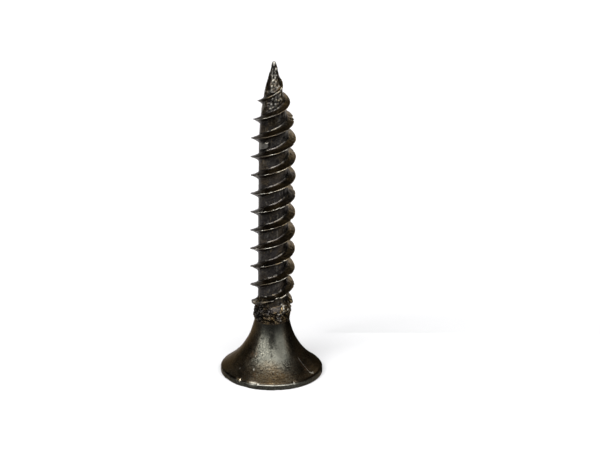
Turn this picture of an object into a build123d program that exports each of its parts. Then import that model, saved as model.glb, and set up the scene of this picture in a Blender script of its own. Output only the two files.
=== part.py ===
"""Bugle-head drywall screw, 3.5 x 25 mm (No. 6 x 1 in), twin-start thread, black phosphate.

The real screw is one piece of hardened steel, so nothing here moves or comes apart.
It is written as six solids that meet face to face along the lines between its formed regions:
the headed bugle with its driver recess, the crushed collar where rolling ended, the thread's
root cylinder, the two starts of the rolled thread, and the pinched point.

Frame: millimetres. The screw stands on the flat face of its head, point up.
The origin is the centre of that face and +Z runs along the axis towards the point.
"""

from build123d import *
from math import asin, cos, pi, sin, sqrt
import os

# Overall
LENGTH = 25.4  # head face to the end of the point
HEAD_DIAMETER = 8.0
MAJOR_DIAMETER = 3.5  # over the thread's crests
ROOT_DIAMETER = 2.24  # between the threads
PITCH = 1.5  # from one crest to the next along the axis
STARTS = 2
LEAD = PITCH * STARTS

# Head
RIM_HEIGHT = 0.42
RIM_EDGE = 0.09  # rounding of the rim's two edges
RIM_LAND = 0.14  # narrow shoulder between the rim's edge and the flare
FLARE_RISE = 0.12  # how far the flare starts above the rim
FLARE_MIDDLE = (2.5, 1.8)  # radius and height of a point halfway up the flare
NECK_DIAMETER = 2.74  # the unrolled wire
NECK_HEIGHT = 4.4

# Cross recess, size 2
RECESS_SPAN = 4.4  # across the wings at the mouth
RECESS_WING = 1.15  # width of a wing at the mouth
RECESS_DEPTH = 2.5
RECESS_FLOOR_SPAN = 1.7
RECESS_FLOOR_WING = 0.62
RECESS_PIT = 0.25  # conical end below the wings, inside the depth

# Collar where the rolling dies stopped
COLLAR_DIAMETER = 2.9
COLLAR_TOP = 5.45
COLLAR_ROUNDING = 0.25

# Thread
CREST_FLAT = 0.05
FLANK_UP = 0.26  # axial reach of the flank facing the point, at the root
FLANK_DOWN = 0.32  # axial reach of the flank facing the head, at the root
FLANK_HOLLOW = 0.42  # share of that reach left at half the thread's depth
FIRST_CROSSING = 5.78  # height where the first start crosses +X
THREAD_FOOT = 5.6  # height where each ridge has faded out above the collar
FOOT_FADE = 0.18  # turns over which a ridge grows at its foot
TIP_FADE = 0.22  # turns over which a ridge dies out at the point
FADED_SIZE = 0.12  # size of a ridge at its two ends, as a share of the full ridge
RIDGE_ENDS = (24.2, 23.5)  # height of each ridge's last point
STEPS_PER_TURN = 24

# Point
POINT_BASE = 18.4  # where the root starts to narrow
POINT_ROOT_BEND = 25.0  # radius of the root's long curve towards the point
POINT_CREST_BASE = 18.8
POINT_CREST_BEND = 12.3  # the same for the thread's crests
TIP_CAP = 0.12  # height of the rounded end, whose centre is on the axis

HEAD_RADIUS = HEAD_DIAMETER / 2
NECK_RADIUS = NECK_DIAMETER / 2
ROOT_RADIUS = ROOT_DIAMETER / 2
CREST_RADIUS = MAJOR_DIAMETER / 2
COLLAR_RADIUS = COLLAR_DIAMETER / 2


def narrowed(radius, base, bend, height):
    """The radius of an outline that runs straight up to base and then bends in on a circle."""
    over = max(0.0, height - base)
    return radius - bend + sqrt(bend * bend - over * over)


def root_radius_at(height):
    return narrowed(ROOT_RADIUS, POINT_BASE, POINT_ROOT_BEND, height)


def crest_radius_at(height):
    return narrowed(CREST_RADIUS, POINT_CREST_BASE, POINT_CREST_BEND, height)


def turned(outline):
    """Revolves a closed outline of (radius, height) about the screw's axis."""
    return revolve(make_face(Plane.XZ * outline), Axis.Z)


def cross(span, wing, height):
    """A plus-shaped face whose two bars are span long and wing wide."""
    bars = Rectangle(span, wing) + Rectangle(wing, span)
    return Plane.XY.offset(height) * bars


def driver_recess():
    """Tapered cross pocket, open at the head's face, with a conical pit at its end."""
    wings_depth = RECESS_DEPTH - RECESS_PIT
    mouth = cross(RECESS_SPAN, RECESS_WING, 0)
    floor = cross(RECESS_FLOOR_SPAN, RECESS_FLOOR_WING, wings_depth)
    wings = loft([mouth, floor])
    pit = Polyline(
        (0, wings_depth),
        (RECESS_FLOOR_WING / 2, wings_depth),
        (0, RECESS_DEPTH),
        close=True,
    )
    return wings + turned(pit)


def bugle_head():
    """Flat-faced head with a short rim and a concave trumpet flare up to the neck."""
    land_radius = HEAD_RADIUS - RIM_LAND
    flare_foot = (land_radius, RIM_HEIGHT + FLARE_RISE)
    diagonal = RIM_EDGE * (1 - sqrt(0.5))
    rim_low = ThreePointArc(
        (HEAD_RADIUS - RIM_EDGE, 0),
        (HEAD_RADIUS - diagonal, diagonal),
        (HEAD_RADIUS, RIM_EDGE),
    )
    rim_band = Line((HEAD_RADIUS, RIM_EDGE), (HEAD_RADIUS, RIM_HEIGHT - RIM_EDGE))
    rim_high = ThreePointArc(
        (HEAD_RADIUS, RIM_HEIGHT - RIM_EDGE),
        (HEAD_RADIUS - diagonal, RIM_HEIGHT - diagonal),
        (HEAD_RADIUS - RIM_EDGE, RIM_HEIGHT),
    )
    land = Line((HEAD_RADIUS - RIM_EDGE, RIM_HEIGHT), flare_foot)
    flare = ThreePointArc(flare_foot, FLARE_MIDDLE, (NECK_RADIUS, NECK_HEIGHT))
    back = Polyline(
        (NECK_RADIUS, NECK_HEIGHT),
        (0, NECK_HEIGHT),
        (0, 0),
        (HEAD_RADIUS - RIM_EDGE, 0),
    )
    body = turned(rim_low + rim_band + rim_high + land + flare + back)
    return body - driver_recess()


def neck_collar():
    """Short swollen length of unrolled wire between the flare and the thread."""
    middle = (NECK_HEIGHT + COLLAR_TOP) / 2
    shoulder = COLLAR_TOP - COLLAR_ROUNDING
    side = Spline((NECK_RADIUS, NECK_HEIGHT), (COLLAR_RADIUS, middle), (NECK_RADIUS, shoulder))
    rest = Polyline(
        (NECK_RADIUS, shoulder),
        (ROOT_RADIUS, COLLAR_TOP),
        (0, COLLAR_TOP),
        (0, NECK_HEIGHT),
        (NECK_RADIUS, NECK_HEIGHT),
    )
    return turned(side + rest)


def root_shank():
    """The plain cylinder that the thread stands on."""
    outline = Polyline(
        (0, COLLAR_TOP),
        (ROOT_RADIUS, COLLAR_TOP),
        (ROOT_RADIUS, POINT_BASE),
        (0, POINT_BASE),
        close=True,
    )
    return turned(outline)


def pinched_point():
    """Long pointed end: the root narrows on a circle to a slightly blunt tip."""
    shoulder = LENGTH - TIP_CAP
    middle = (POINT_BASE + shoulder) / 2
    shoulder_radius = root_radius_at(shoulder)
    side = ThreePointArc(
        (ROOT_RADIUS, POINT_BASE),
        (root_radius_at(middle), middle),
        (shoulder_radius, shoulder),
    )
    cap_radius = (shoulder_radius**2 + TIP_CAP**2) / (2 * TIP_CAP)
    half_angle = asin(shoulder_radius / cap_radius) / 2
    tip = ThreePointArc(
        (shoulder_radius, shoulder),
        (cap_radius * sin(half_angle), LENGTH - cap_radius * (1 - cos(half_angle))),
        (0, LENGTH),
    )
    back = Polyline((0, LENGTH), (0, POINT_BASE), (ROOT_RADIUS, POINT_BASE))
    return turned(side + tip + back)


def ridge_profile(size):
    """(share of the depth, axial offset) of each edge of a ridge, from its lower root to its upper root.

    A full ridge has size 1. The flanks are hollow, so at half depth they are closer together.
    """
    flat = CREST_FLAT / 2 * size
    down = FLANK_DOWN * size
    up = FLANK_UP * size
    return [
        (0.0, -down),
        (0.5, -flat - down * FLANK_HOLLOW),
        (1.0, -flat),
        (1.0, flat),
        (0.5, flat + up * FLANK_HOLLOW),
        (0.0, up),
    ]


def thread_ridge(crossing, top):
    """One start of the thread, standing on the surface of the shank and the point.

    Each edge is a smooth curve through points at equal angles, and the faces between
    neighbouring edges are ruled, so that every face follows the same helix.
    """
    first_turn = (THREAD_FOOT - crossing) / LEAD
    turns = (top - THREAD_FOOT) / LEAD
    steps = round(turns * STEPS_PER_TURN)
    stations = [step / steps for step in range(steps + 1)]
    edges = []
    for edge in range(6):
        points = []
        for station in stations:
            turn = turns * station
            height = THREAD_FOOT + LEAD * turn
            angle = 2 * pi * (first_turn + turn)
            fade = min(1.0, turn / FOOT_FADE, (turns - turn) / TIP_FADE)
            grown = FADED_SIZE + (1 - FADED_SIZE) * sin(fade * pi / 2)
            depth = (crest_radius_at(height) - root_radius_at(height)) * grown
            share, offset = ridge_profile(depth / (CREST_RADIUS - ROOT_RADIUS))[edge]
            radius = root_radius_at(height + offset) + depth * share
            points.append((radius * cos(angle), radius * sin(angle), height + offset))
        edges.append(Edge.make_spline(points, parameters=stations))
    faces = [Face.make_surface_from_curves(edges[i], edges[(i + 1) % 6]) for i in range(6)]
    for end in (0, 1):
        faces.append(Face(Wire.make_polygon([edge @ end for edge in edges], close=True)))
    return Solid(Shell(faces))


def write_nodes():
    nodes = {
        "bugle_head": bugle_head(),
        "neck_collar": neck_collar(),
        "root_shank": root_shank(),
        "thread_start_a": thread_ridge(FIRST_CROSSING, RIDGE_ENDS[0]),
        "thread_start_b": thread_ridge(FIRST_CROSSING + PITCH, RIDGE_ENDS[1]),
        "pinched_point": pinched_point(),
    }
    os.makedirs("parts", exist_ok=True)
    for name, shape in nodes.items():
        export_step(shape, f"parts/{name}.step")


write_nodes()
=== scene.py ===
"""Looks of the drywall screw: detailed meshes in place of the CAD nodes, phosphate steel, studio and camera.

Shapes are worked out in millimetres in the row frame and handed to Blender in metres.
The screw stands on its head with its point up, and the camera looks along +Y.
"""

import bpy
import math
import numpy as np
from mathutils import Matrix, Vector


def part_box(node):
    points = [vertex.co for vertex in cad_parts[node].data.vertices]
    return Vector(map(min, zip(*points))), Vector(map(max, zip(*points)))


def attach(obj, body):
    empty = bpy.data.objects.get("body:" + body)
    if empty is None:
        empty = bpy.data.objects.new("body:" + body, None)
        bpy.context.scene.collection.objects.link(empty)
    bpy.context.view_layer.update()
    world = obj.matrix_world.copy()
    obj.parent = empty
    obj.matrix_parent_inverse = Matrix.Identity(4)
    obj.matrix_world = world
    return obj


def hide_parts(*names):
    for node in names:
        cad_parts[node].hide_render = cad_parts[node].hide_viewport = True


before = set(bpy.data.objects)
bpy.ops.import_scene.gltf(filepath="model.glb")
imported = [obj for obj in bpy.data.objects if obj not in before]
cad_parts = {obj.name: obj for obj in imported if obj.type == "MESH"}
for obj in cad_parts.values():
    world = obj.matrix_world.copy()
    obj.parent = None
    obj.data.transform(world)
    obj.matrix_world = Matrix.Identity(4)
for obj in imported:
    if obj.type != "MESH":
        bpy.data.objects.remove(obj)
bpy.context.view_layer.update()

MM = 1000.0  # millimetres in a metre
RIM_CLEARANCE = 0.008  # keeps the rim's relief inside the CAD box

# Sizes read from the CAD nodes
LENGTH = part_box("pinched_point")[1].z * MM
HEAD_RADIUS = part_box("bugle_head")[1].x * MM - RIM_CLEARANCE
NECK_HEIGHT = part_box("bugle_head")[1].z * MM
COLLAR_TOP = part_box("neck_collar")[1].z * MM
ROOT_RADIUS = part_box("root_shank")[1].x * MM
POINT_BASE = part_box("pinched_point")[0].z * MM
CREST_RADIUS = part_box("thread_start_a")[1].x * MM

# Sizes that the CAD model has and its boxes don't show
RIM_HEIGHT = 0.42
RIM_EDGE = 0.09
LAND_RADIUS = HEAD_RADIUS - 0.14
LAND_HEIGHT = RIM_HEIGHT + 0.12
FLARE_MIDDLE = (2.5, 1.8)
NECK_RADIUS = 1.37
RECESS_SPAN = 4.4
RECESS_WING = 1.15
RECESS_FLOOR_SPAN = 1.7
RECESS_FLOOR_WING = 0.62
RECESS_FLOOR = 2.25
RECESS_DEPTH = 2.5
LEAD = 3.0
PITCH = 1.5
FIRST_CROSSING = 5.78
RIDGE_ENDS = (24.2, 23.5)
TIP_FADE = 0.22
FADED_SIZE = 0.12
POINT_ROOT_BEND = 25.0
POINT_CREST_BASE = 18.8
POINT_CREST_BEND = 12.3
TIP_CAP = 0.12

# Sizes that only the visual model has
SHARP_EDGE = 0.045  # rounding of the rim's upper edge, which carries the bright line
MOUTH_EDGE = 0.05  # rounding of the recess's mouth
CRUST_TOP = 6.0  # how far the crushed steel of the collar reaches up over the shank
THREAD_FOOT = 5.0  # the ridges run down onto the collar
FOOT_FADE = 0.16  # turns over which a ridge grows there
RIDGE_SINK = 0.63  # how fast a ridge's foot dips under the root's surface

# Points in each ring of a mesh, and steps of a ridge in each turn
HEAD_AROUND = 720
COLLAR_AROUND = 640
ROOT_AROUND = 240
RIDGE_STEPS = 225

# Places of single marks. A turn is in degrees about the axis: -90 is the camera's side, 0 is +X.
RIM_BITES = (  # turn, width in degrees and depth of each dent in the rim's upper edge
    (-111.5, 5.2, 0.034),
    (-128.6, 1.0, 0.03),
    (-63.8, 0.9, 0.02),
    (37.0, 2.6, 0.05),
    (141.0, 3.0, 0.05),
)
BRIGHT_SPOTS = ((-105.6, 0.43, 0.05), (-63.6, 0.43, 0.045), (-140.0, 1.02, 0.035))  # turn, height, size
SCRATCHES = (  # two ends, each as turn and height, and half the width
    ((-36.5, 1.73), (-35.0, 1.22), 0.026),
    ((-35.0, 1.22), (-34.3, 0.72), 0.018),
    ((-34.3, 0.72), (-31.0, 0.60), 0.022),
    ((-31.0, 0.60), (-28.5, 0.66), 0.016),
    ((-117.5, 1.23), (-116.5, 1.16), 0.040),
    ((58.0, 1.9), (70.0, 1.0), 0.016),
    ((160.0, 2.1), (171.0, 0.9), 0.016),
    ((112.0, 0.8), (121.0, 1.3), 0.016),
)
FLAKE_PLACE = (-141.0, 18.88)  # turn and height of the lighter flake on the point
PINCH_HEIGHTS = (22.15, 22.62, 23.05, 23.5, 23.88, 24.22, 24.52, 24.8)  # pits of the pinching seam
NOTCHES = ((20.86, 0.05, 0.09), (20.74, 0.03, 0.06), (9.35, 0.07, 0.10))  # height, width, depth in a crest


# Repeatable noise

HASH_X, HASH_Y, HASH_Z, HASH_SEED, HASH_LAST = 374761393, 668265263, 1440670441, 1274126177, 2246822519
ALL_BITS = 0xFFFFFFFF


def lattice(ix, iy, iz, seed):
    """Random numbers from -1 to 1 at whole-number points, the same in every run."""
    mask = np.uint64(ALL_BITS)
    h = ix.astype(np.int64) * HASH_X + iy.astype(np.int64) * HASH_Y
    h = (h + iz.astype(np.int64) * HASH_Z + seed * HASH_SEED).astype(np.uint64) & mask
    h = ((h ^ (h >> np.uint64(13))) * np.uint64(HASH_SEED)) & mask
    h = ((h ^ (h >> np.uint64(15))) * np.uint64(HASH_LAST)) & mask
    h = h ^ (h >> np.uint64(16))
    return h.astype(float) / ALL_BITS * 2.0 - 1.0


def noise(points, size, seed):
    """Smooth noise from -1 to 1 whose bumps are about size millimetres across."""
    scaled = np.asarray(points, float) / size
    cell = np.floor(scaled)
    part = scaled - cell
    part = part * part * (3.0 - 2.0 * part)
    total = np.zeros(len(scaled))
    for corner in range(8):
        step = np.array([corner & 1, corner >> 1 & 1, corner >> 2 & 1])
        weight = np.prod(np.where(step == 1, part, 1.0 - part), axis=1)
        at = cell + step
        total += weight * lattice(at[:, 0], at[:, 1], at[:, 2], seed)
    return total


def fractal(points, size, seed):
    """Three sizes of noise on top of each other, each half the size and strength of the one before."""
    total = np.zeros(len(points))
    shares = (1.0, 0.5, 0.25)
    for octave, share in enumerate(shares):
        total += share * noise(points, size / 2**octave, seed + 17 * octave)
    return total / sum(shares)


def smooth_step(low, high, value):
    """0 below low, 1 above high and a smooth rise between them."""
    part = np.clip((value - low) / (high - low), 0.0, 1.0)
    return part * part * (3.0 - 2.0 * part)


# Meshes

def grid_piece(name, rings, marks, round_way=True):
    """A closed mesh from a grid of rings, with each end filled by a fan, and marks as point attributes."""
    count, around = rings.shape[:2]
    points = rings.reshape(-1, 3)
    first = points[:around].mean(axis=0)
    last = points[-around:].mean(axis=0)
    points = np.vstack([points, first, last]) / MM
    row, column = np.meshgrid(np.arange(count - 1), np.arange(around), indexing="ij")
    following = (column + 1) % around
    corners = [row * around + column, row * around + following]
    corners += [(row + 1) * around + following, (row + 1) * around + column]
    quads = np.stack(corners, axis=-1).reshape(-1, 4)
    if not round_way:
        quads = quads[:, ::-1]
    ring = np.arange(around)
    after = (ring + 1) % around
    low_fan = np.stack([after, ring, np.full(around, count * around)], axis=-1)
    top = (count - 1) * around
    high_fan = np.stack([top + ring, top + after, np.full(around, count * around + 1)], axis=-1)
    if not round_way:
        low_fan = low_fan[:, ::-1]
        high_fan = high_fan[:, ::-1]
    faces = quads.tolist() + low_fan.tolist() + high_fan.tolist()
    mesh = bpy.data.meshes.new(name)
    mesh.from_pydata(points.tolist(), [], faces)
    mesh.polygons.foreach_set("use_smooth", np.ones(len(faces), bool))
    for mark, values in marks.items():
        values = values.reshape(-1)
        ends = [values[:around].mean(), values[-around:].mean()]
        data = mesh.attributes.new(mark, "FLOAT", "POINT").data
        data.foreach_set("value", np.append(values, ends).astype(np.float32))
    mesh.set_sharp_from_angle(angle=math.radians(60))
    mesh.update()
    piece = bpy.data.objects.new(name, mesh)
    bpy.context.scene.collection.objects.link(piece)
    return piece


def turned_rings(radii, heights, around):
    """Rings about the axis from radius and height arrays, each one value or one per angle for each ring."""
    angle = np.linspace(0.0, 2.0 * np.pi, around, endpoint=False)
    count = len(radii)
    radii = np.broadcast_to(np.asarray(radii, float).reshape(count, -1), (count, around))
    heights = np.broadcast_to(np.asarray(heights, float).reshape(count, -1), (count, around))
    return np.stack([radii * np.cos(angle), radii * np.sin(angle), heights], axis=-1)


def arc_through(start, middle, end, count):
    """Points on the circle through three points of an outline, from start to end."""
    (ax, ay), (bx, by), (cx, cy) = start, middle, end
    d = 2.0 * (ax * (by - cy) + bx * (cy - ay) + cx * (ay - by))
    a2 = ax * ax + ay * ay
    b2 = bx * bx + by * by
    c2 = cx * cx + cy * cy
    ux = (a2 * (by - cy) + b2 * (cy - ay) + c2 * (ay - by)) / d
    uy = (a2 * (cx - bx) + b2 * (ax - cx) + c2 * (bx - ax)) / d
    radius = math.hypot(ax - ux, ay - uy)
    first = math.atan2(ay - uy, ax - ux)
    last = math.atan2(cy - uy, cx - ux)
    if last - first > math.pi:
        last -= 2.0 * math.pi
    if first - last > math.pi:
        last += 2.0 * math.pi
    angle = np.linspace(first, last, count)
    return ux + radius * np.cos(angle), uy + radius * np.sin(angle)


def around_axis(points):
    """Distance of each point from the axis, its direction away from the axis, and its turn in degrees."""
    radial = np.hypot(points[:, 0], points[:, 1])
    outward = points * (1.0, 1.0, 0.0) / np.maximum(radial, 1e-6)[:, None]
    return radial, outward, np.degrees(np.arctan2(points[:, 1], points[:, 0]))


# Outlines shared by the pieces

def narrowed(radius, base, bend, height):
    """Radius of an outline that runs straight up to base and then bends in on a circle."""
    over = np.maximum(0.0, height - base)
    return radius - bend + np.sqrt(bend * bend - over * over)


def root_radius_at(height):
    return narrowed(ROOT_RADIUS, POINT_BASE, POINT_ROOT_BEND, height)


def crest_radius_at(height):
    return narrowed(CREST_RADIUS, POINT_CREST_BASE, POINT_CREST_BEND, height)


def above_crest(points):
    """Height above the nearest crest, from minus to plus half a pitch."""
    turn = np.arctan2(points[:, 1], points[:, 0]) / (2.0 * np.pi)
    phase = (points[:, 2] - FIRST_CROSSING) / PITCH - 2.0 * turn
    return (phase - np.round(phase)) * PITCH


def rolling_marks(points, size, seed):
    """Noise drawn out along the thread, from -1 to 1, that dies away where the turn starts again at -X."""
    turn = np.arctan2(points[:, 1], points[:, 0]) / (2.0 * np.pi)
    followed = np.stack([turn * 2.4, np.zeros(len(points)), points[:, 2] - LEAD * turn], axis=-1)
    return noise(followed, size, seed) * (1.0 - smooth_step(0.42, 0.49, np.abs(turn)))


def root_relief(points):
    """How far the root stands off its plain outline: streaks, waves, pits, and lumps near the point."""
    streaks = noise(points * (1.0, 1.0, 0.35), 0.13, 31) * 0.004
    streaks += rolling_marks(points, 0.13, 33) * 0.011
    waves = noise(points * (1.0, 1.0, 0.4), 0.7, 37) * 0.012
    pits = -smooth_step(0.45, 0.8, noise(points, 0.13, 41)) * 0.012
    hammered = smooth_step(20.4, 22.6, points[:, 2]) * (1.0 - smooth_step(25.0, 25.35, points[:, 2]))
    lumps = fractal(points, 0.32, 43) * 0.060 * hammered
    return streaks + waves + pits + lumps


# The head

def cross_radius(angle, span, wing, fillet):
    """Distance from the axis to the wall of a cross with rounded wing ends and rounded inner corners."""
    c = np.abs(np.cos(angle))
    s = np.abs(np.sin(angle))
    low = np.zeros_like(angle)
    high = np.full_like(angle, span)
    half = wing / 2.0
    rounding = half * 0.45
    for _ in range(40):
        middle = (low + high) / 2.0
        x = middle * c
        y = middle * s
        bars = []
        for u, v in ((x, y), (y, x)):
            du = u - (span / 2.0 - rounding)
            dv = v - (half - rounding)
            outside = np.hypot(np.maximum(du, 0.0), np.maximum(dv, 0.0))
            bars.append(outside + np.minimum(np.maximum(du, dv), 0.0) - rounding)
        first, second = bars
        blend = np.clip(0.5 + 0.5 * (second - first) / fillet, 0.0, 1.0)
        joined = second * (1.0 - blend) + first * blend - fillet * blend * (1.0 - blend)
        inside = joined < 0.0
        low = np.where(inside, middle, low)
        high = np.where(inside, high, middle)
    return (low + high) / 2.0


RECESS, FACE, RIM, FLARE, NECK_END = range(5)  # which part of the head a ring belongs to


def head_outline():
    """Rings from the recess's floor over the face, rim and flare to the neck, and each point's part."""
    angle = np.linspace(0.0, 2.0 * np.pi, HEAD_AROUND, endpoint=False)
    radii = []
    heights = []
    parts = []

    def add(radius, height, part):
        radii.append(np.broadcast_to(radius, (HEAD_AROUND,)).astype(float))
        heights.append(np.broadcast_to(height, (HEAD_AROUND,)).astype(float))
        parts.append(part)

    floor = cross_radius(angle, RECESS_FLOOR_SPAN, RECESS_FLOOR_WING, 0.25)
    pit_radius = RECESS_FLOOR_WING / 2.0
    for share in (0.06, 0.16, 0.28, 0.40, 0.55, 0.70, 0.85, 0.95):
        radius = floor * share
        pit = np.clip(1.0 - radius / pit_radius, 0.0, 1.0)
        add(radius, RECESS_FLOOR + (RECESS_DEPTH - RECESS_FLOOR) * pit, RECESS)
    for share in np.linspace(0.0, 1.0, 27):
        span = RECESS_FLOOR_SPAN + (RECESS_SPAN - RECESS_FLOOR_SPAN) * share
        wing = RECESS_FLOOR_WING + (RECESS_WING - RECESS_FLOOR_WING) * share
        wall = cross_radius(angle, span, wing, 0.25 + 0.25 * share)
        add(wall, RECESS_FLOOR * (1.0 - share) + MOUTH_EDGE, RECESS)
    mouth = radii[-1]
    for share in (0.3, 0.6, 1.0):
        a = share * math.pi / 2
        add(mouth + MOUTH_EDGE * (1.0 - math.cos(a)), MOUTH_EDGE * (1.0 - math.sin(a)), RECESS)
    mouth = radii[-1]
    for share in np.linspace(0.08, 1.0, 24):
        add(mouth + (HEAD_RADIUS - RIM_EDGE - mouth) * share, 0.0, FACE)
    quarter = np.linspace(0.0, 1.0, 7)[1:] * math.pi / 2
    for a in quarter:
        add(HEAD_RADIUS - RIM_EDGE * (1.0 - math.sin(a)), RIM_EDGE * (1.0 - math.cos(a)), RIM)
    for share in np.linspace(0.0, 1.0, 9)[1:]:
        add(HEAD_RADIUS, RIM_EDGE + (RIM_HEIGHT - RIM_EDGE - SHARP_EDGE) * share, RIM)
    for a in quarter:
        radius = HEAD_RADIUS - SHARP_EDGE * (1.0 - math.cos(a))
        add(radius, RIM_HEIGHT - SHARP_EDGE * (1.0 - math.sin(a)), RIM)
    for share in np.linspace(0.0, 1.0, 5)[1:-1]:
        radius = HEAD_RADIUS - SHARP_EDGE + (LAND_RADIUS - HEAD_RADIUS + SHARP_EDGE) * share
        add(radius, RIM_HEIGHT + (LAND_HEIGHT - RIM_HEIGHT) * share, FLARE)
    flare = arc_through((LAND_RADIUS, LAND_HEIGHT), FLARE_MIDDLE, (NECK_RADIUS, NECK_HEIGHT), 108)
    for radius, height in zip(*flare):
        add(radius, height, FLARE)
    add(NECK_RADIUS * 0.6, NECK_HEIGHT, NECK_END)
    rings = turned_rings(np.array(radii), np.array(heights), HEAD_AROUND)
    return rings, np.repeat(np.array(parts), HEAD_AROUND)


def make_head():
    """The head: its outline, a battered rim and flare, and the marks that tint them."""
    rings, part = head_outline()
    points = rings.reshape(-1, 3)
    radial, outward, turn = around_axis(points)
    height = points[:, 2].copy()

    # Relief: a slightly battered rim and a flare with drawing lines and shallow lumps
    rim = smooth_step(3.6, 3.95, radial) * (part >= FACE) * (part <= FLARE)
    dents = np.abs(fractal(points, 1.1, 3)) * 0.018 + smooth_step(0.25, 0.7, noise(points, 0.5, 5)) * 0.03
    flank = (part == FLARE).astype(float)
    peel = 0.4 + 0.6 * smooth_step(-0.3, 0.4, noise(points, 1.2, 8))
    fine = fractal(points, 0.2, 7) * 0.014 * peel + noise(points, 0.8, 9) * 0.010
    circling = np.stack([turn * 0.012, np.zeros(len(points)), height - radial * 0.6], axis=-1)
    lines = smooth_step(0.1, 0.6, noise(circling, 0.075, 10)) * (1.0 - smooth_step(1.4, 1.9, height)) * flank
    fine -= lines * 0.006
    relief = -dents * rim + fine * flank * smooth_step(0.0, 0.5, NECK_HEIGHT - height)
    bite = np.zeros(len(points))
    for at, width, depth in RIM_BITES:
        off = (turn - at + 180.0) % 360.0 - 180.0
        bite += depth * np.exp(-(off / width) ** 2)
    upper_rim = smooth_step(0.2, 0.42, height) * smooth_step(3.7, 3.95, radial) * (part >= RIM)
    relief -= bite * upper_rim
    points = points + outward * relief[:, None]
    points[:, 2] -= bite * upper_rim * 0.6
    points[:, 2] += np.where(part == FACE, np.abs(noise(points, 0.9, 11)) * 0.006, 0.0)

    # Wear and gold: a bright line along the rim's upper edge, spots, scratches, gold specks at the left
    edge = np.exp(-(((height - (RIM_HEIGHT - 0.006)) / 0.014) ** 2))
    edge *= smooth_step(3.88, 3.95, radial) * (part >= RIM)
    rubbed = smooth_step(-0.1, 0.5, fractal(points, 1.3, 13))
    rubbed *= smooth_step(-0.4, 0.2, noise(points, 0.16, 15))
    front = smooth_step(-107.0, -103.0, turn) * (1.0 - smooth_step(-66.0, -60.0, turn))
    front *= 0.7 + 0.3 * smooth_step(-0.5, 0.3, noise(points, 0.3, 16))
    wear_and_highlight = edge * np.clip(rubbed * 0.5 + front, 0.0, 1.0)
    patchy = 0.7 + 0.3 * noise(points, 0.16, 24)
    wear_and_highlight = np.maximum(wear_and_highlight, smooth_step(0.010, 0.028, bite) * upper_rim * 0.24 * patchy)
    for at, at_height, size in BRIGHT_SPOTS:
        off = np.hypot(np.radians(turn - at) * radial, height - at_height)
        wear_and_highlight = np.maximum(wear_and_highlight, np.exp(-((off / size) ** 2)) * 0.8)
    low_edge = np.exp(-((height / 0.06) ** 2)) * smooth_step(3.86, 3.93, radial)
    wear_and_highlight = np.maximum(wear_and_highlight, low_edge * 0.2 * rubbed)
    mouth_edge = np.exp(-((height / 0.05) ** 2)) * (part == RECESS)
    wear_and_highlight = np.maximum(wear_and_highlight, mouth_edge * 0.5 * smooth_step(-0.2, 0.5, noise(points, 0.4, 19)))
    scratches = np.zeros(len(points))
    for start, end, width in SCRATCHES:
        scratches = np.maximum(scratches, scratch_on_flare(turn, height, radial, start, end, width))
    broken = smooth_step(-0.7, 0.0, noise(points, 0.12, 21))
    scratches *= flank * broken
    wear_and_highlight = np.maximum(wear_and_highlight, scratches * 0.8)
    points = points - outward * (scratches * 0.008)[:, None]
    left = np.exp(-(((turn + 137.0) / 9.0) ** 2)) * smooth_step(3.55, 3.8, radial) * (height > 0.3)
    dashes = smooth_step(0.0, 0.3, noise(points * (1.0, 1.0, 0.5), 0.13, 27))
    gold = dashes * left * np.exp(-(((height - 0.46) / 0.05) ** 2))
    spot = np.hypot(np.radians(turn + 128.6) * 3.9, (height - 0.45) * 1.3)
    gold = np.maximum(gold, np.exp(-((spot / 0.08) ** 2)))
    wear_and_highlight = np.maximum(wear_and_highlight, np.exp(-((spot / 0.055) ** 2)))
    flecks = smooth_step(0.72, 0.86, noise(points, 0.11, 23)) * smooth_step(0.1, 0.6, noise(points, 0.9, 25))
    gold = np.maximum(gold, flecks * flank * (1.0 - smooth_step(1.0, 1.5, height)) * 0.5)

    # Brown and rust towards the rim and the sides, and an evenly olive patch in the highlight's right half
    brown = flank * (1.0 - smooth_step(0.8, 1.9, height + fractal(points, 0.9, 29) * 0.4))
    brown = np.maximum(brown, rim * 0.1)
    sideways = np.abs(np.cos(np.radians(turn)))
    brown = np.maximum(brown, flank * smooth_step(0.45, 0.85, sideways) * 0.9)
    stained = smooth_step(0.40, 0.75, sideways) * smooth_step(-0.25, 0.45, fractal(points, 0.9, 26))
    unrolled = np.stack([turn * 0.06, radial * 0.8, height], axis=-1)
    streaks = smooth_step(-0.1, 0.5, noise(unrolled, 0.32, 34))
    rust = flank * stained * (0.25 + 0.75 * streaks) * (1.0 - smooth_step(2.2, 3.2, height)) * 0.55
    right_streak = np.exp(-(((turn + 38.0) / 9.0) ** 2)) * streaks * (1.0 - smooth_step(1.3, 1.9, height))
    rust = np.maximum(rust, flank * right_streak)
    mottled = smooth_step(0.15, 0.55, noise(points * (1.0, 1.0, 0.7), 0.17, 30))
    mottled *= smooth_step(-0.3, 0.3, noise(points, 0.7, 32)) * (1.0 - smooth_step(-118.0, -104.0, turn))
    rust = np.maximum(rust, flank * mottled * 0.6 * (1.0 - smooth_step(2.2, 3.0, height)))
    rust_spot = np.hypot(np.radians(turn + 114.0) * 3.8, (height - 0.78) * 0.7)
    rust = np.maximum(rust, flank * np.exp(-((rust_spot / 0.15) ** 2)))
    plain = flank * smooth_step(-90.0, -80.0, turn) * (1.0 - smooth_step(-58.0, -50.0, turn))
    plain *= smooth_step(1.5, 2.0, height)
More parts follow.
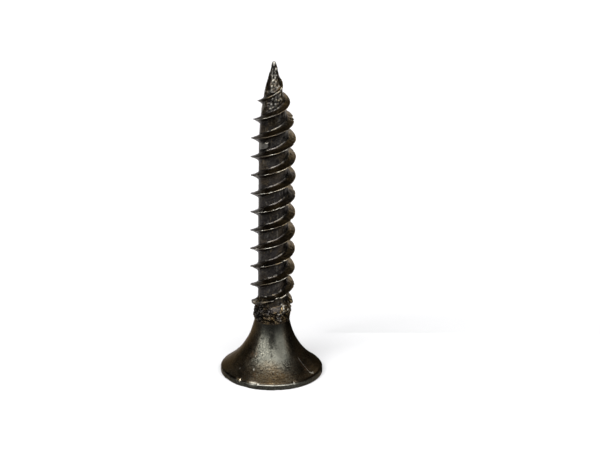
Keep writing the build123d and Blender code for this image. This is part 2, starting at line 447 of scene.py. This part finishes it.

    # Dark: painted shade on the right side, at the neck and deeper in the recess, a painted dark reflection
    # down the front, turning lines, fine curls, a pit, blotches, and a darker band on the land at the rim
    land = smooth_step(3.84, 3.89, radial) * smooth_step(0.405, 0.43, height) * (part >= RIM)
    # painted shade: the right side of the flare is darkened where a dark reflection falls
    shaded = smooth_step(-60.0, -42.0, turn) * (1.0 - smooth_step(20.0, 50.0, turn))
    shaded *= smooth_step(2.3, 3.0, radial)
    shaded *= (0.62 + 0.2 * fractal(points, 0.6, 28)) * (1.0 - rust)
    curls = 1.0 - smooth_step(0.03, 0.10, np.abs(noise(points, 0.34, 12)))
    curls *= smooth_step(0.0, 0.5, noise(points, 0.7, 14)) * smooth_step(1.2, 1.6, height) * (height < 3.6)
    dot = np.hypot(np.radians(turn + 90.5) * 2.2, (height - 2.15) * 0.6)
    # painted shade: the flare darkens towards the neck, under the collar
    neck_shade = smooth_step(3.45, 4.2, height + noise(points * (1.0, 1.0, 0.3), 0.3, 18) * 0.2)
    # painted reflection: a dark streak down the front of the flare, where the gap in the wall of light is
    # seen
    painted_dark_reflection = np.exp(-(((turn + 90.0) / 7.0) ** 2))
    painted_dark_reflection *= smooth_step(2.7, 3.3, height + noise(points, 0.4, 20) * 0.2)
    dark = flank * np.maximum(np.maximum(curls * 0.6, lines * 0.55), np.maximum(neck_shade * 0.62, painted_dark_reflection * 0.5))
    blotches = smooth_step(0.15, 0.6, fractal(points * (1.0, 1.0, 0.6), 0.7, 22)) * 0.28
    dark = np.maximum(dark, flank * blotches)
    dark = np.maximum(dark, flank * np.exp(-((dot / 0.08) ** 2)))
    dark = np.maximum(dark, flank * shaded)
    dark = np.maximum(dark, land * 0.9)
    # painted shade: darker deeper in the recess
    dark = np.maximum(dark, (part == RECESS) * smooth_step(0.3, 1.5, height))
    marks = {"wear_and_highlight": wear_and_highlight, "gold": gold, "brown": brown, "dark": dark, "rust": rust, "plain": plain}
    return grid_piece("head", points.reshape(rings.shape), marks)


def scratch_on_flare(turn, height, radial, start, end, width):
    """Strength of a straight scratch on the flare, whose ends are given as turn in degrees and height."""
    along = (np.radians(turn - start[0]) * radial, height - start[1])
    middle = np.interp((start[1] + end[1]) / 2.0, (0.5, 1.8, 4.4), (3.86, 2.5, 1.37))
    reach = (math.radians(end[0] - start[0]) * middle, end[1] - start[1])
    length_squared = reach[0] ** 2 + reach[1] ** 2
    share = np.clip((along[0] * reach[0] + along[1] * reach[1]) / length_squared, 0.0, 1.0)
    off = np.hypot(along[0] - share * reach[0], along[1] - share * reach[1])
    return np.exp(-((off / width) ** 2))


# The collar, the shank and the point

def make_collar():
    """Crushed wire above the neck, under the ragged feet of the two thread starts."""
    heights = np.linspace(NECK_HEIGHT - 0.06, CRUST_TOP, 120)
    radii = np.interp(
        heights,
        [NECK_HEIGHT - 0.06, NECK_HEIGHT, 4.62, 5.0, 5.4, 5.65, 5.85, CRUST_TOP],
        [NECK_RADIUS - 0.07, NECK_RADIUS - 0.01, 1.37, 1.39, 1.33, 1.20, 1.07, 1.02],
    )
    rings = turned_rings(radii, heights, COLLAR_AROUND)
    points = rings.reshape(-1, 3)
    _, outward, turn = around_axis(points)
    height = points[:, 2]
    flat = points * (1.0, 1.0, 3.0)

    # Folds, scales, crumbs and lumps, and a smoother panel at the front right below the first thread
    panel = np.exp(-(((turn + 70.0) / 34.0) ** 4))
    panel *= smooth_step(5.38, 5.52, height + noise(points, 0.3, 64) * 0.08)
    open_part = smooth_step(NECK_HEIGHT - 0.02, NECK_HEIGHT + 0.16, height)
    folds = fractal(flat, 0.9, 51) * 3.2
    folds -= np.floor(folds)
    scales = fractal(flat, 0.5, 52) * 2.6
    scales -= np.floor(scales)
    crumbs = smooth_step(0.1, 0.5, noise(points, 0.17, 53))
    lumps = smooth_step(0.1, 0.8, noise(points * (1.0, 1.0, 1.4), 0.6, 55))
    rough = folds * 0.085 + scales * 0.055 + crumbs * 0.045 + lumps * 0.13 - 0.09
    rough += fractal(points, 0.13, 57) * 0.02
    rough = rough * (1.0 - panel * 0.8) + panel * 0.02
    relief = rough * open_part
    points = points + outward * relief[:, None]
    points[:, 2] += noise(points, 0.35, 60) * 0.04 * open_part

    # Rubbed and gold on the peaks, a gold patch at the front, painted shade in the hollows
    peak = smooth_step(0.03, 0.12, rough) * (1.0 - panel)
    wear_and_highlight = peak * smooth_step(0.1, 0.6, noise(flat, 0.2, 59)) * 0.34
    across = np.radians(turn + 79.0)
    patch = np.hypot(across * 1.12, points[:, 2] - 5.36 - across * 0.25)
    patch_grain = smooth_step(-0.3, 0.3, noise(points, 0.15, 62))
    gold = smooth_step(0.35, 0.7, noise(flat, 0.22, 61)) * peak * 0.4
    gold = np.maximum(gold, np.exp(-((patch / 0.10) ** 2)) * patch_grain * 0.55)
    # painted shade: darker in the hollows of the crushed steel
    dark = (1.0 - smooth_step(-0.05, 0.04, rough)) * (1.0 - panel * 0.7)
    brown = smooth_step(-0.4, 0.5, noise(points, 0.5, 63))
    marks = {"wear_and_highlight": wear_and_highlight, "gold": gold, "brown": brown, "dark": dark * open_part}
    return grid_piece("collar", points.reshape(rings.shape), marks)


def root_piece(name, heights, radii):
    """A length of the root: plain outline, relief, and the tints that follow the relief."""
    rings = turned_rings(radii, heights, ROOT_AROUND)
    points = rings.reshape(-1, 3)
    radial, outward, turn = around_axis(points)
    relief = root_relief(points) * smooth_step(0.02, 0.3, radial)
    hammered = smooth_step(20.4, 22.6, points[:, 2])

    # The seam left by the two pinching dies: a chain of small pits up the front and the back of the point
    pinch = np.zeros(len(points))
    lips = np.zeros(len(points))
    for index, height in enumerate(PINCH_HEIGHTS):
        for side in (-1.0, 1.0):
            radius = float(root_radius_at(np.array(height)))
            lean = 0.03 * math.sin(index * 2.3 + side)
            centre = np.array([lean, side * radius, height])
            off = np.linalg.norm((points - centre) * (1.0, 1.0, 0.8), axis=1)
            pinch += np.exp(-((off / 0.075) ** 2))
            beside = [
                np.linalg.norm((points - centre - aside) * (1.0, 1.0, 0.7), axis=1)
                for aside in ((0.11, 0.0, 0.02), (-0.11, 0.0, 0.03))
            ]
            lips += np.exp(-((np.minimum(*beside) / 0.08) ** 2))
    relief += (lips * 0.025 - pinch * 0.06) * smooth_step(0.1, 0.3, radial)

    # A lighter flake low on the point, raised a little, with a dark groove round it
    across = np.radians(turn - FLAKE_PLACE[0]) * ROOT_RADIUS
    up = points[:, 2] - FLAKE_PLACE[1] - across * 0.25 + noise(points, 0.3, 72) * 0.05
    flake = ((np.abs(across) / 0.62) ** 3 + (np.abs(up) / 0.30) ** 3) ** (1.0 / 3.0)
    inside = 1.0 - smooth_step(0.85, 1.0, flake)
    groove = np.exp(-(((flake - 1.16) / 0.15) ** 2))
    relief += inside * 0.02 - groove * 0.05
    points = points + outward * relief[:, None]

    # Wear on the tip, the seam's lips and the hammered bumps; painted shadow below each crest and painted
    # shade in the pits and the hollows
    end = smooth_step(LENGTH - 0.28, LENGTH - 0.12, points[:, 2])
    wear_and_highlight = end * 0.42 + lips * 0.40 * hammered
    streaked = points * (1.0, 1.0, 0.3)
    wear_and_highlight = np.maximum(wear_and_highlight, smooth_step(0.5, 0.8, noise(streaked, 0.12, 65)) * 0.10 * (1.0 - hammered))
    bumps = smooth_step(0.1, 0.6, noise(points * (1.0, 1.0, 0.8), 0.17, 74))
    wear_and_highlight = np.maximum(wear_and_highlight, bumps * 0.34 * hammered)
    wear_and_highlight = np.maximum(wear_and_highlight, smooth_step(0.0, 0.6, fractal(points, 0.8, 66)) * 0.035)
    gold = smooth_step(0.62, 0.85, noise(points, 0.16, 67)) * 0.15
    # painted shadow: the root is darkened just below each crest
    off = above_crest(points) + noise(points, 0.5, 68) * 0.05
    corner = smooth_step(-0.62, -0.44, off) * (1.0 - smooth_step(-0.26, -0.2, off))
    corner *= 0.65 + 0.3 * noise(points, 0.3, 70)
    # painted shade: dark in the seam's pits and the hammered hollows
    dark = np.clip(pinch + smooth_step(0.0, -0.04, relief) * hammered * 0.8, 0.0, 1.0)
    dark = np.maximum(dark, corner * (1.0 - hammered * 0.5))
    dark = np.maximum(dark, smooth_step(0.2, 0.6, noise(streaked, 0.3, 71)) * 0.22 * (1.0 - hammered))
    rolled = smooth_step(0.25, 0.7, rolling_marks(points, 0.10, 75))
    dark = np.maximum(dark, rolled * 0.62 * (1.0 - hammered))
    dark = np.maximum(dark, smooth_step(0.25, 0.6, noise(points, 0.15, 76)) * 0.9 * hammered)
    dark = np.maximum(dark, np.exp(-(((points[:, 2] - (LENGTH - 0.36)) / 0.08) ** 2)))
    brown = smooth_step(-0.2, 0.6, noise(points * (1.0, 1.0, 1.5), 0.8, 69)) * 0.42
    brown = np.maximum(brown, hammered * smooth_step(0.5, 0.9, np.abs(points[:, 0]) / radial))
    wear_and_highlight = np.maximum(wear_and_highlight, inside * (0.21 + 0.07 * noise(points, 0.2, 73)))
    dark *= 1.0 - inside * 0.9
    # painted shade in the groove round the flake
    dark = np.maximum(dark, groove)
    wear_and_highlight = np.clip(wear_and_highlight, 0.0, 1.0) * (1.0 - dark * 0.9)
    marks = {"wear_and_highlight": np.clip(wear_and_highlight, 0.0, 1.0), "gold": gold, "brown": brown, "dark": dark}
    return grid_piece(name, points.reshape(rings.shape), marks)


def make_shank():
    """The cylinder at the bottom of the thread, from inside the collar to the foot of the point."""
    heights = np.linspace(COLLAR_TOP - 0.12, POINT_BASE, 228)
    return root_piece("shank", heights, root_radius_at(heights))


def make_point():
    """The long taper and its small rounded tip."""
    shoulder = LENGTH - TIP_CAP
    side = np.linspace(POINT_BASE, shoulder, 165)
    shoulder_radius = float(root_radius_at(np.array(shoulder)))
    cap_radius = (shoulder_radius**2 + TIP_CAP**2) / (2.0 * TIP_CAP)
    half_angle = math.asin(shoulder_radius / cap_radius)
    angle = np.linspace(half_angle, 0.04, 12)[1:]
    heights = np.concatenate([side, LENGTH - cap_radius * (1.0 - np.cos(angle))])
    radii = np.concatenate([root_radius_at(side), cap_radius * np.sin(angle)])
    return root_piece("point", heights, radii)


# The thread

FLANK_UP = 0.24  # axial reach of the flank facing the point
FLANK_DOWN = 0.29  # axial reach of the flank facing the head
ROOT_FILLET = 0.065  # how much further the foot reaches, as a small hollow rounding
CREST_HALF = 0.028  # half the crest's width
NICKS = 34  # small random nicks in the crest of each ridge


def ridge_section():
    """(share of the depth, axial offset) across a full ridge, from its lower foot to its upper foot."""
    depths = []
    offsets = []
    shares = np.concatenate([np.linspace(0.0, 1.0, 11) ** 1.7 * 0.3, np.linspace(0.3, 0.96, 10)[1:]])
    for side, reach in ((-1.0, FLANK_DOWN), (1.0, FLANK_UP)):
        offset = CREST_HALF + reach * (1.0 - shares) ** 1.25 + ROOT_FILLET * np.exp(-shares / 0.055)
        foot_depth = np.concatenate([[-0.06, -0.03], shares])
        foot_offset = np.concatenate([[offset[0] + 0.05, offset[0] + 0.03], offset])
        if side < 0:
            depths.extend(foot_depth)
            offsets.extend(side * foot_offset)
            depths.extend([0.985, 1.0, 0.985])
            offsets.extend([-0.022, 0.0, 0.022])
        else:
            depths.extend(foot_depth[::-1])
            offsets.extend(foot_offset[::-1])
    return np.array(depths), np.array(offsets)


def make_ridge(name, crossing, top, seed, notches=()):
    """One start of the thread as a closed band that follows the helix, its foot just inside the root."""
    turns = (top - THREAD_FOOT) / LEAD
    count = int(turns * RIDGE_STEPS)
    turn = np.linspace(0.0, turns, count)
    height = THREAD_FOOT + LEAD * turn
    angle = 2.0 * np.pi * ((THREAD_FOOT - crossing) / LEAD + turn)
    fade = np.minimum(1.0, np.minimum(turn / FOOT_FADE, (turns - turn) / TIP_FADE))
    grown = FADED_SIZE + (1.0 - FADED_SIZE) * np.sin(fade * np.pi / 2.0)
    depth = (crest_radius_at(height) - root_radius_at(height)) * grown
    size = depth / (CREST_RADIUS - ROOT_RADIUS)

    # The crest wanders a little, is nicked here and there, and is rougher near the collar.
    # The foot is fatter at the collar and wider near the point, where the crest is blunter.
    line = np.stack([turn * 11.0, np.zeros(count), np.full(count, seed * 3.7)], axis=-1)
    rough = 1.0 + 1.3 * (1.0 - smooth_step(6.0, 11.0, height)) + 3.0 * (1.0 - smooth_step(5.2, 6.9, height))
    fat = 1.0 + 0.9 * (1.0 - smooth_step(5.6, 6.6, height))
    blunt = 0.05 * smooth_step(22.4, 23.6, height)
    spread = 0.10 * smooth_step(21.8, 22.8, height) * (1.0 - smooth_step(top - 0.5, top, height))
    wander = (noise(line, 1.5, seed) * 0.016 + noise(line, 0.35, seed + 1) * 0.007) * rough
    lost = (np.abs(noise(line, 0.8, seed + 2)) * 0.022 + np.abs(noise(line, 0.16, seed + 3)) * 0.010) * rough
    bent = np.zeros(count)
    bright = np.zeros(count)
    picks = np.random.default_rng(seed)
    for _ in range(NICKS):
        at = picks.uniform(0.0, turns)
        width = picks.uniform(0.004, 0.014)
        cut = picks.uniform(0.02, 0.09)
        lean = picks.uniform(-0.03, 0.03)
        bell = np.exp(-(((turn - at) / width) ** 2))
        lost += cut * bell
        bent += lean * np.exp(-(((turn - at - width * 1.6) / width) ** 2))
        bright = np.maximum(bright, np.exp(-(((turn - at) / (width * 1.8)) ** 2)))

    # Just above the collar the dies' ends have crushed the crest into lumps
    crushed = 1.0 - smooth_step(6.2, 7.7, height)
    lost += crushed * (0.05 + 0.24 * smooth_step(-0.1, 0.5, noise(line, 0.55, seed + 20)))
    blunt += crushed * (0.03 + 0.05 * noise(line, 0.4, seed + 21))

    # Larger notches at given heights
    for at_height, width, cut in notches:
        bell = np.exp(-(((height - at_height) / width) ** 4))
        lost += cut * bell
        bright = np.maximum(bright, bell * 0.6)

    # Every section of the band, across from the lower foot to the upper foot
    shares, offsets = ridge_section()
    across = np.clip(shares, 0.0, 1.0)
    reach = offsets[None, :] * (size * fat)[:, None]
    reach += blunt[:, None] * np.sign(offsets)[None, :] * smooth_step(0.3, 0.9, across)[None, :]
    reach += spread[:, None] * (np.exp(-across / 0.14) * np.sign(offsets))[None, :]
    reach += (wander + bent)[:, None] * across[None, :] ** 2
    crumbled = 1.0 - smooth_step(7.6, 10.5, height)
    beads = noise(line, 0.9, seed + 14) * 0.6 + noise(line, 0.28, seed + 15) * (0.5 + crumbled)
    foot = np.exp(-across / 0.07) * np.sign(offsets)
    reach += (beads * (0.030 + 0.03 * crumbled))[:, None] * foot[None, :]
    tall = np.maximum(depth - lost, depth * 0.35)
    axial = height[:, None] + reach
    radius = root_radius_at(axial) + np.where(
        shares[None, :] > 0.0,
        tall[:, None] * shares[None, :],
        RIDGE_SINK * shares[None, :],
    )
    rings = np.stack([radius * np.cos(angle)[:, None], radius * np.sin(angle)[:, None], axial], axis=-1)
    points = rings.reshape(-1, 3)
    radial, outward, _ = around_axis(points)

    # Grain on the flanks, and the root's own relief at the foot
    share_all = np.broadcast_to(across[None, :], reach.shape).reshape(-1)
    flank = np.sin(share_all * np.pi)
    upward = np.sign(np.broadcast_to(offsets[None, :], reach.shape).reshape(-1))
    grain = fractal(points, 0.22, seed + 5) * 0.008 * flank
    along = np.repeat(turn, len(shares))
    rolling = np.stack([along * 4.0, share_all * upward * 0.7, np.zeros(len(points))], axis=-1)
    grain += noise(rolling, 0.09, seed + 16) * 0.014 * flank + noise(points, 0.12, seed + 18) * 0.006 * flank
    points = points + np.stack([np.zeros(len(points)), np.zeros(len(points)), upward * grain], axis=-1)
    points = points + outward * (root_relief(points) * (1.0 - share_all) ** 3)[:, None]

    # Wear along the crest, a painted highlight on the broken fillet, gold that is partly a painted warm
    # sheen at the right, brown flanks, and painted shade on the faces in front and in the fillet's gaps
    crest = smooth_step(0.95, 0.99, share_all)
    worn = smooth_step(-0.1, 0.6, fractal(points, 1.4, seed + 6))
    worn *= smooth_step(-0.5, 0.3, noise(points, 0.2, seed + 11))
    worn = worn * 0.95 + 0.06 + np.repeat(bright, len(shares)) * 0.8
    worn += 0.4 * smooth_step(22.6, 23.4, points[:, 2])
    near_tip = smooth_step(21.6, 22.6, points[:, 2])
    ridge_top = smooth_step(0.986, 0.999, share_all) * near_tip
    wear_and_highlight = crest * np.clip(worn, 0.0, 1.0) * 0.68 * (1.0 - ridge_top * 0.8)
    broken = smooth_step(-0.3, 0.4, np.repeat(beads, len(shares)))
    # painted highlight: the bright colour on the fillet at the upper foot brightens its light line
    corner = (1.0 - smooth_step(0.0, 0.07, share_all)) * (upward > 0.0)
    wear_and_highlight = np.maximum(wear_and_highlight, corner * (0.10 + 0.25 * near_tip) * broken)
    below = 1.0 - smooth_step(5.6, 7.6, points[:, 2])
    flecks = smooth_step(0.55, 0.75, noise(points, 0.14, seed + 7))
    # partly a painted warm sheen: the gold near the crests is stronger on the +X side, where warm light
    # falls
    edge_side = smooth_step(-0.2, 0.5, points[:, 0] / radial)
    tinted = smooth_step(-0.3, 0.4, noise(points, 0.4, seed + 8)) * (0.08 + 0.42 * edge_side)
    gold = np.maximum(flecks * (0.12 + 0.7 * below), smooth_step(0.9, 0.97, share_all) * tinted)
    wear_and_highlight = np.maximum(wear_and_highlight, below * smooth_step(0.35, 0.6, noise(points, 0.18, seed + 12)) * 0.4)
    brown = smooth_step(0.02, 0.3, share_all) * smooth_step(-1.0, 0.0, noise(points, 0.8, seed + 9))
    brown *= 1.0 - crest * 0.6 * (1.0 - near_tip)
    facing = np.clip(-points[:, 1] / radial, 0.0, 1.0)
    dark = smooth_step(0.4, 0.8, noise(points, 0.2, seed + 10)) * 0.5
    dark = np.maximum(dark, smooth_step(0.0, 0.5, noise(rolling, 0.09, seed + 17)) * 0.6 * flank)
    dark = np.maximum(dark, smooth_step(0.15, 0.5, noise(points, 0.13, seed + 19)) * 0.6)
    # painted shade: the flanks on the camera's side are darkened
    painted_front_shade = smooth_step(0.3, 0.7, facing) * smooth_step(0.1, 0.3, share_all) * (1.0 - crest)
    dark = np.maximum(dark, painted_front_shade * 0.55)
    # painted shade: dark in the fillet's corner where its light line is broken near the collar
    gaps = corner * (1.0 - broken) * np.repeat(crumbled, len(shares))
    dark = np.maximum(dark, gaps * 0.9)
    dark = np.maximum(dark, below * smooth_step(0.0, 0.5, noise(points, 0.25, seed + 13)) * 0.8)
    marks = {"wear_and_highlight": wear_and_highlight, "gold": gold, "brown": brown, "dark": dark}
    return grid_piece(name, points.reshape(rings.shape), marks, round_way=False)


# Materials

WORN_AND_HIGHLIGHT_COLOUR = (0.58, 0.56, 0.49)
GOLD_COLOUR = (0.40, 0.30, 0.16)
RUST_COLOUR = (0.088, 0.050, 0.027)
PIT_COLOUR = (0.010, 0.009, 0.007)
GRIME_AND_SHADE_COLOUR = (0.006, 0.005, 0.004)
CRYSTAL_SCALE = 9000.0  # noise cells per metre, so a crystal is about 0.1 mm across
FINE_CRYSTAL_SCALE = 24000.0
PATCH_SCALE = 900.0
CLOUD_SCALE = 320.0
BUMP_DEPTH = 0.000012


def phosphate_steel(name, dark_film, light_film, brown_film, speckle, edge_tint, brown_share):
    """Oiled black phosphate over steel: dark olive and brown, finely grained, rubbed bright and given
    painted highlights where marked, and darkened where marked, partly by painted shade.

    edge_tint is the share of the reflection that is left where the surface is seen almost edge on.
    """
    material = bpy.data.materials.new(name)
    material.use_nodes = True
    tree = material.node_tree
    nodes = tree.nodes
    link = tree.links.new
    shader = nodes["Principled BSDF"]
    shader.inputs["Specular Tint"].default_value = (*edge_tint, 1.0)
    place = nodes.new("ShaderNodeTexCoord")

    def grain(scale, detail):
        node = nodes.new("ShaderNodeTexNoise")
        node.inputs["Scale"].default_value = scale
        node.inputs["Detail"].default_value = detail
        node.inputs["Roughness"].default_value = 0.55
        link(place.outputs["Object"], node.inputs["Vector"])
        return node.outputs["Fac"]

    def steps(value, low, high, to_low=0.0, to_high=1.0):
        node = nodes.new("ShaderNodeMapRange")
        node.inputs["From Min"].default_value = low
        node.inputs["From Max"].default_value = high
        node.inputs["To Min"].default_value = to_low
        node.inputs["To Max"].default_value = to_high
        link(value, node.inputs["Value"])
        return node.outputs["Result"]

    def blend(factor, first, second):
        node = nodes.new("ShaderNodeMix")
        node.data_type = "RGBA"
        link(factor, node.inputs[0])
        for value, socket in ((first, node.inputs[6]), (second, node.inputs[7])):
            if isinstance(value, tuple):
                socket.default_value = (*value, 1.0)
            else:
                link(value, socket)
        return node.outputs[2]

    def maths(kind, first, second):
        node = nodes.new("ShaderNodeMath")
        node.operation = kind
        node.use_clamp = True
        for value, socket in ((first, node.inputs[0]), (second, node.inputs[1])):
            if isinstance(value, float):
                socket.default_value = value
            else:
                link(value, socket)
        return node.outputs[0]

    def mark(name_of_mark):
        node = nodes.new("ShaderNodeAttribute")
        node.attribute_name = name_of_mark
        return node.outputs["Fac"]

    crystals = grain(CRYSTAL_SCALE, 2.0)
    patches = grain(PATCH_SCALE, 3.0)
    clouds = grain(CLOUD_SCALE, 2.0)
    base = blend(steps(clouds, 0.38, 0.62), dark_film, light_film)
    tint = maths("MULTIPLY", mark("brown"), steps(patches, 0.3, 0.65, brown_share * 0.6, brown_share))
    base = blend(tint, base, brown_film)
    base = blend(maths("MULTIPLY", mark("rust"), steps(patches, 0.35, 0.6)), base, RUST_COLOUR)
    rough_share = maths("SUBTRACT", 1.0, maths("MULTIPLY", mark("plain"), 0.75))
    light_specks = maths("MULTIPLY", steps(crystals, 0.54, 0.72, 0.0, 0.9), rough_share)
    dark_specks = maths("MULTIPLY", steps(crystals, 0.46, 0.32, 0.0, 0.75), rough_share)
    base = blend(light_specks, base, speckle)
    base = blend(dark_specks, base, PIT_COLOUR)
    # the dark mark holds real dark marks and painted shade
    base = blend(maths("MULTIPLY", mark("dark"), 0.85), base, GRIME_AND_SHADE_COLOUR)
    base = blend(maths("MULTIPLY", mark("gold"), 0.8), base, GOLD_COLOUR)
    # the wear mark holds real wear and painted highlights
    base = blend(mark("wear_and_highlight"), base, WORN_AND_HIGHLIGHT_COLOUR)
    link(base, shader.inputs["Base Color"])
    shader.inputs["Metallic"].default_value = 1.0
    dull = steps(patches, 0.3, 0.7, 0.26, 0.38)
    link(dull, shader.inputs["Roughness"])
    bump = nodes.new("ShaderNodeBump")
    bump.inputs["Strength"].default_value = 0.8
    bump.inputs["Distance"].default_value = BUMP_DEPTH
    fine_crystals = maths("MULTIPLY", grain(FINE_CRYSTAL_SCALE, 1.0), 0.3)
    link(maths("ADD", maths("MULTIPLY", crystals, 0.7), fine_crystals), bump.inputs["Height"])
    link(bump.outputs["Normal"], shader.inputs["Normal"])
    return material


def paper(name, colour, gloss=0.2):
    """Matt paper for the stage pieces."""
    material = bpy.data.materials.new(name)
    material.use_nodes = True
    shader = material.node_tree.nodes["Principled BSDF"]
    shader.inputs["Base Color"].default_value = (*colour, 1.0)
    shader.inputs["Roughness"].default_value = 0.7
    shader.inputs["Specular IOR Level"].default_value = gloss
    return material


# Studio

WALL_DISTANCE = 0.7
FLOOR_WIDTH = (-0.45, 0.45)
FLOOR_DEPTH = (-0.45, 0.24)
CARD_HEIGHT = -0.0002
CARDS = (  # name, extent along X, extent along Y, grey
    ("front_card", (-0.10, 0.10), (-0.07, 0.0), 0.32),
    ("left_card", (-0.10, 0.0), (0.0, 0.06), 0.50),
    ("right_card", (0.010, 0.10), (0.009, 0.06), 0.50),
    ("back_card", (-0.10, 0.10), (0.06, 0.40), 0.75),
)
FLAG_EXTENT = (0.0042, 0.040)
FLAG_HEIGHT = 0.0062
FLAG_DEPTH = 0.0075  # how far the black card stands behind the axis


def aim(thing, target, roll=0.0):
    """Turns a light or the camera so that it looks at target."""
    towards = Vector(target) - thing.location
    thing.rotation_mode = "QUATERNION"
    turn = towards.to_track_quat("-Z", "Y")
    thing.rotation_quaternion = turn @ Matrix.Rotation(roll, 4, "Z").to_quaternion()


def direction(azimuth, elevation):
    """Unit vector from the object: azimuth 0 is the camera's side, -Y, and 90 is +X."""
    a = math.radians(azimuth)
    e = math.radians(elevation)
    return Vector((math.sin(a) * math.cos(e), -math.cos(a) * math.cos(e), math.sin(e)))


def softbox(name, place, target, width, height, radiance):
    """A soft rectangular light at place, in metres, facing target and as bright as radiance all over."""
    data = bpy.data.lights.new(name, "AREA")
    data.shape = "RECTANGLE"
    data.size = width
    data.size_y = height
    data.energy = radiance * math.pi * width * height
    light = bpy.data.objects.new(name, data)
    bpy.context.scene.collection.objects.link(light)
    light.location = place
    aim(light, target)
    light.visible_camera = False
    return light


def front_panel(name, left, right, low, high, radiance):
    """Part of the wall of light behind the photographer, given by its edges."""
    middle = ((left + right) / 2.0, -WALL_DISTANCE, (low + high) / 2.0)
    softbox(name, middle, (middle[0], 0.0, middle[2]), right - left, high - low, radiance)


def plain_plane(name, width, depth, height, material):
    """A flat stage piece from width[0] to width[1] along X and depth[0] to depth[1] along Y."""
    corners = [(width[i], depth[j], height) for i, j in ((0, 0), (1, 0), (1, 1), (0, 1))]
    mesh = bpy.data.meshes.new(name)
    mesh.from_pydata(corners, [], [(0, 1, 2, 3)])
    mesh.materials.append(material)
    plane = bpy.data.objects.new(name, mesh)
    bpy.context.scene.collection.objects.link(plane)
    return plane


def make_studio():
    """A white floor, a wall of light in front with a gap where the photographer stands, and a dim ceiling.

    The floor is lit to pure white, and the screw doesn't reflect it. In its place the screw reflects
    four grey cards just under the floor, and at its right a black card that stands up behind the head.
    """
    white = paper("white_floor", (0.60, 0.60, 0.605), gloss=0.0)
    floor = plain_plane("floor", FLOOR_WIDTH, FLOOR_DEPTH, 0.0, white)
    floor.visible_glossy = False
    floor.visible_diffuse = False
    floor.visible_shadow = False
    cards = [
        plain_plane(name, width, depth, CARD_HEIGHT, paper(name, (grey, grey, grey * 1.04)))
        for name, width, depth, grey in CARDS
    ]
    black = paper("black_card", (0.01, 0.01, 0.01))
    flag = plain_plane("black_flag", FLAG_EXTENT, (0.0, FLAG_HEIGHT), 0.0, black)
    standing = Matrix.Rotation(math.radians(90.0), 4, "X")
    flag.matrix_world = Matrix.Translation((0.0, FLAG_DEPTH, 0.0)) @ standing
    for card in (*cards, flag):
        card.visible_camera = False
        card.visible_shadow = False
    front_panel("key_left", -1.45, -0.30, 0.23, 1.28, 10.0)
    front_panel("key_right", 0.30, 1.75, 0.18, 1.22, 5.6)
    front_panel("key_middle", -0.30, 0.30, 0.46, 1.38, 9.5)
    softbox("ceiling", (0.0, -0.12, 1.0), (0.0, -0.12, 0.0), 1.1, 0.46, 1.6)
    softbox("back_left", (-0.55, 0.6, 0.50), (0.0, 0.0, 0.0), 0.6, 0.5, 0.4)
    softbox("low_strip", (-0.34, 0.80, 0.14), (0.0, 0.0, 0.01), 0.5, 0.12, 1.0)
    softbox("back_right", (0.33, 0.62, 0.38), (0.0, 0.0, 0.0), 0.5, 0.48, 2.5)
    world = bpy.data.worlds.new("studio")
    world.use_nodes = True
    background = world.node_tree.nodes["Background"]
    background.inputs["Color"].default_value = (1.0, 1.0, 1.0, 1.0)
    background.inputs["Strength"].default_value = 1.1
    world.cycles_visibility.diffuse = False
    world.cycles_visibility.glossy = False
    bpy.context.scene.world = world


CAMERA_DISTANCE = 0.2136
CAMERA_ELEVATION = 24.0
CAMERA_LENS = 162.65
CAMERA_YAW = 0.6166  # degrees to the right of +Y
CAMERA_PITCH = 20.9376  # degrees below level
CAMERA_ROLL = 0.6735


def make_camera():
    """The photographer's place: 214 mm away and 24 degrees up, aimed a little right of the screw."""
    data = bpy.data.cameras.new("camera")
    data.sensor_width = 36.0
    data.lens = CAMERA_LENS
    data.clip_start = 0.01
    data.clip_end = 20.0
    camera = bpy.data.objects.new("camera", data)
    bpy.context.scene.collection.objects.link(camera)
    camera.location = direction(0.0, CAMERA_ELEVATION) * CAMERA_DISTANCE
    yaw = math.radians(CAMERA_YAW)
    pitch = math.radians(CAMERA_PITCH)
    forward = Vector((math.sin(yaw) * math.cos(pitch), math.cos(yaw) * math.cos(pitch), -math.sin(pitch)))
    aim(camera, camera.location + forward, roll=math.radians(CAMERA_ROLL))
    bpy.context.scene.camera = camera


make_camera()
make_studio()
pieces = {
    "bugle_head": make_head(),
    "neck_collar": make_collar(),
    "root_shank": make_shank(),
    "thread_start_a": make_ridge("thread_a", FIRST_CROSSING, RIDGE_ENDS[0], 101, NOTCHES),
    "thread_start_b": make_ridge("thread_b", FIRST_CROSSING + PITCH, RIDGE_ENDS[1], 202),
    "pinched_point": make_point(),
}
head_steel = phosphate_steel(
    "phosphate_head",
    dark_film=(0.040, 0.040, 0.033),
    light_film=(0.060, 0.059, 0.049),
    brown_film=(0.064, 0.042, 0.020),
    speckle=(0.092, 0.089, 0.070),
    edge_tint=(0.66, 0.58, 0.50),
    brown_share=0.9,
)
thread_steel = phosphate_steel(
    "phosphate_thread",
    dark_film=(0.021, 0.019, 0.018),
    light_film=(0.040, 0.036, 0.035),
    brown_film=(0.084, 0.055, 0.022),
    speckle=(0.082, 0.067, 0.042),
    edge_tint=(0.80, 0.78, 0.76),
    brown_share=0.95,
)
for node, piece in pieces.items():
    piece.data.materials.append(head_steel if node == "bugle_head" else thread_steel)
    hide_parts(node)
    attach(piece, "root")

bpy.context.scene.view_settings.view_transform = "Standard"
